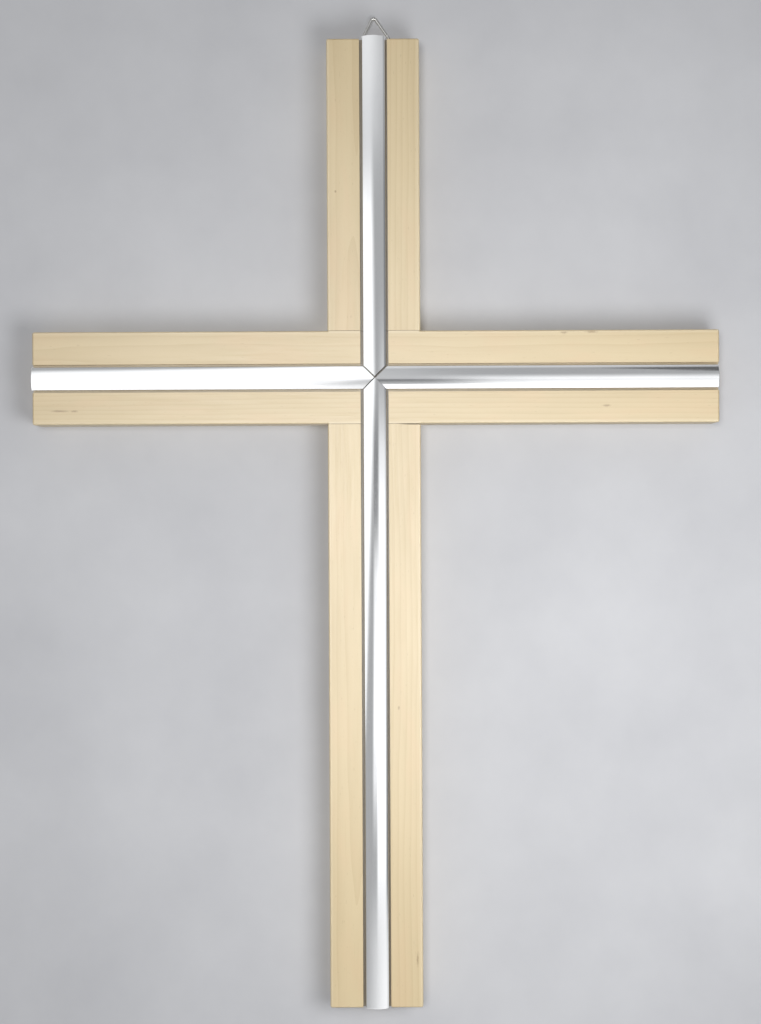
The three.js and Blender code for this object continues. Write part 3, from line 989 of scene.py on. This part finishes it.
def glossy_only(obj):
    obj.visible_camera = False
    obj.visible_shadow = False
    obj.visible_diffuse = False


def panel_mesh(name, top, bottom, feather, radius):
    """A curved grid on the sphere, with the glow of each point as an attribute."""
    fade_left, fade_right, fade_bottom, fade_top = feather
    rise = top[2] - bottom[2]
    count_up = max(8, int(rise / 2))
    count_across = max(8, int((max(top[1], bottom[1]) - min(top[0], bottom[0])) / 2))
    bm = bmesh.new()
    glow = bm.verts.layers.float.new("glow")
    rows = []
    for j in range(count_up + 1):
        elevation = bottom[2] + rise * j / count_up
        left = bottom[0] + (top[0] - bottom[0]) * j / count_up
        right = bottom[1] + (top[1] - bottom[1]) * j / count_up
        upright = (ramp(elevation - bottom[2], 0, fade_bottom)
                   * ramp(top[2] - elevation, 0, fade_top))
        row = []
        for i in range(count_across + 1):
            azimuth = left + (right - left) * i / count_across
            spot = bm.verts.new(on_dome(azimuth, elevation, radius))
            spot[glow] = (ramp(azimuth - left, 0, fade_left)
                          * ramp(right - azimuth, 0, fade_right) * upright)
            row.append(spot)
        rows.append(row)
    bridge(bm, rows, closed=False)
    return mesh_object(name, bm)


def soft_panel(name, top, bottom, feather, strength, pieces=None, radius=None):
    """A curved softbox round the crossing, seen in glossy surfaces only. top and bottom are each
    (left azimuth, right azimuth, elevation) in degrees. The glow fades in over the feather, which
    is the degrees at its left, right, bottom and top edge. If pieces are given, it lights only
    those."""
    if radius is None:
        earlier = sum(obj.name.startswith("panel") for obj in bpy.data.objects)
        radius = DOME_RADIUS + PANEL_STEP * earlier
    name = "panel_" + name
    panel = panel_mesh(name, top, bottom, feather, radius)
    panel.data.materials.append(glow_material(name + "_light", strength))
    glossy_only(panel)
    if pieces:
        link_light(panel, pieces, "INCLUDE")
    return panel


def link_light(light, pieces, state):
    """The light shines on these pieces only, or, if the state is EXCLUDE, on all but these."""
    receivers = bpy.data.collections.new(light.name + " pieces")
    light.light_linking.receiver_collection = receivers
    for obj in pieces:
        receivers.objects.link(obj)
    for entry in receivers.collection_objects:
        entry.light_linking.link_state = state


def dark_card(name, left, right, low, high):
    """A dark grey card in front of the softboxes, between these azimuths and elevations."""
    material, tree, surface = empty_material(name)
    light = node(tree, "ShaderNodeEmission", {"Color": (1, 1, 1, 1), "Strength": CARD_GLOW})
    tree.links.new(light.outputs[0], surface)
    angles = ((left, low), (right, low), (right, high), (left, high))
    corners = [on_dome(azimuth, elevation, CARD_RADIUS) for azimuth, elevation in angles]
    glossy_only(plane(name, corners, material))


def lamp(name, place, aim, size, power, pieces, state="EXCLUDE"):
    """A round area light, by its width in metres and its power in watts. It lights everything
    but these pieces, or only these for INCLUDE."""
    light = bpy.data.lights.new(name, "AREA")
    light.shape = "DISK"
    light.size = size
    light.energy = power
    made = bpy.data.objects.new(name, light)
    made.location = place
    made.rotation_euler = (Vector(aim) - made.location).to_track_quat("-Z", "Y").to_euler()
    bpy.context.scene.collection.objects.link(made)
    made.visible_camera = False
    link_light(made, pieces, state)


def world():
    grey = bpy.data.worlds.new("studio")
    grey.use_nodes = True
    tree = grey.node_tree
    tree.nodes.clear()
    background = node(tree, "ShaderNodeBackground", {"Color": SKY_COLOUR, "Strength": SKY_STRENGTH})
    output = tree.nodes.new("ShaderNodeOutputWorld")
    tree.links.new(background.outputs[0], output.inputs["Surface"])
    bpy.context.scene.world = grey


def upper_strip_lights(strip):
    soft_panel("upper_left", (-84, 2, 20), (-84, 24, -14), (6, 30, 2, 5), SOFTBOX, strip)
    soft_panel("upper_sky", (-84, 84, 80), (-84, 84, 16.5), (6, 6, 6, 3), 0.15, strip)
    soft_panel("upper_sky_left", (-84, 70, 80), (-84, 70, 16.5), (6, 110, 6, 3), 0.26, strip)
    soft_panel("upper_right", (10, 66, 10), (10, 66, -30), (48, 8, 3, 12), 0.7, strip)


def lower_strip_lights(strip):
    soft_panel("lower_left", (-84, 24, 9), (-84, -66, -19), (6, 18, 2, 2), SOFTBOX, strip)
    soft_panel("lower_right", (18, 84, 5), (-8, 66, -31), (14, 14, 5, 8), SOFTBOX, strip)
    soft_panel("lower_middle", (-14, 20, -4), (-33, 10, -25), (14, 3, 6, 4), SOFTBOX, strip)
    soft_panel("lower_end", (-84, 84, -27.5), (-84, 84, -70), (150, 14, 10, 3), 0.55, strip)


def lower_strip_room(strip):
    """The grey room round the lower strip, with an unlit gap at the horizon and just under it."""
    soft_panel("lower_room_high", (-80, 68, 89), (-80, 68, 0.5), (6, 10, 1, 1), ROOM, strip)
    soft_panel("lower_room_low", (-80, 68, -7.0), (-80, 68, -89), (6, 10, 1, 1), ROOM, strip)
    soft_panel("lower_room_left", (-80, -8, 1.5), (-80, -8, -8.0), (6, 3, 1, 1), ROOM, strip)
    soft_panel("lower_room_right", (20, 68, 1.5), (20, 68, -8.0), (4, 10, 1, 1), ROOM, strip)


def left_strip_lights(strip):
    soft_panel("left_high", (-32, 8, 89), (-62, 8, -4), (32, 6, 1, 12), SOFTBOX, strip)
    soft_panel("left_low", (-60, 4, 1), (-60, -8, -64), (10, 4, 12, 1), SOFTBOX, strip)
    soft_panel("left_underside", (-60, 0, -44), (-60, 0, -84), (10, 10, 8, 14), 0.22, strip)


def right_strip_lights(strip):
    soft_panel("right_low", (2, 60, 24), (6, 60, -46), (4, 10, 6, 38), SOFTBOX, strip)
    soft_panel("right_underside", (-20, 60, -37), (-20, 60, -84), (6, 10, 8, 9), SOFTBOX, strip)
    soft_panel("right_near", (-14, 7, 80), (-14, 7, -10), (6, 6, 6, 10), 0.14, strip)
    soft_panel("right_top", (-40, 75, 89), (-40, 75, 58), (20, 20, 10, 2), 0.25, strip)
    soft_panel("right_room", (-80, 80, 89), (-80, 80, -12), (6, 6, 5, 1), ROOM, strip)


def lights():
    world()
    sides = ("upper", "right", "lower", "left")
    strips = {side: bpy.data.objects[f"strip_{side}"] for side in sides}
    floor = bpy.data.objects["floor"]
    upper_strip_lights([strips["upper"]])
    lower_strip_lights([strips["lower"]])
    lower_strip_room([strips["lower"]])
    left_strip_lights([strips["left"]])
    right_strip_lights([strips["right"]])
    room = soft_panel("grey_room", (-80, 68, 89), (-80, 68, -89), (6, 10, 1, 1), ROOM)
    link_light(room, [strips["right"], strips["lower"]], "EXCLUDE")
    behind = soft_panel("softbox_behind", (94, 266, 70), (94, 266, -30), (4, 4, 10, 10), 0.65,
                        radius=SOFTBOX_BEHIND_RADIUS)
    behind.visible_diffuse = True
    dark_card("dark_patch", 27, 46, 30, 56)
    lamp("sheen", SHEEN_PLACE, LAMP_AIM, 0.3, 6.2, strips.values())
    lamp("floor_light", FLOOR_LIGHT_PLACE, FLOOR_LIGHT_AIM, 1.5, 36, [floor], "INCLUDE")
    lamp("fill", FILL_PLACE, LAMP_AIM, 0.28, 1.45, strips.values())


def camera():
    """In front and a little low, square to the wall and rolled very slightly."""
    data = bpy.data.cameras.new("camera")
    data.lens = CAMERA_LENS
    data.sensor_width = 36
    data.clip_start = 0.01
    data.clip_end = 20
    eye = bpy.data.objects.new("camera", data)
    eye.location = CAMERA_PLACE
    eye.rotation_euler = (math.pi / 2, math.radians(CAMERA_ROLL), 0)
    bpy.context.scene.collection.objects.link(eye)
    bpy.context.scene.camera = eye


# ---------------------------------------------------------------- the whole


bpy.context.scene.view_settings.view_transform = "Standard"
beams()
inlay()
tapes()
hanger()
stage()
lights()
camera()
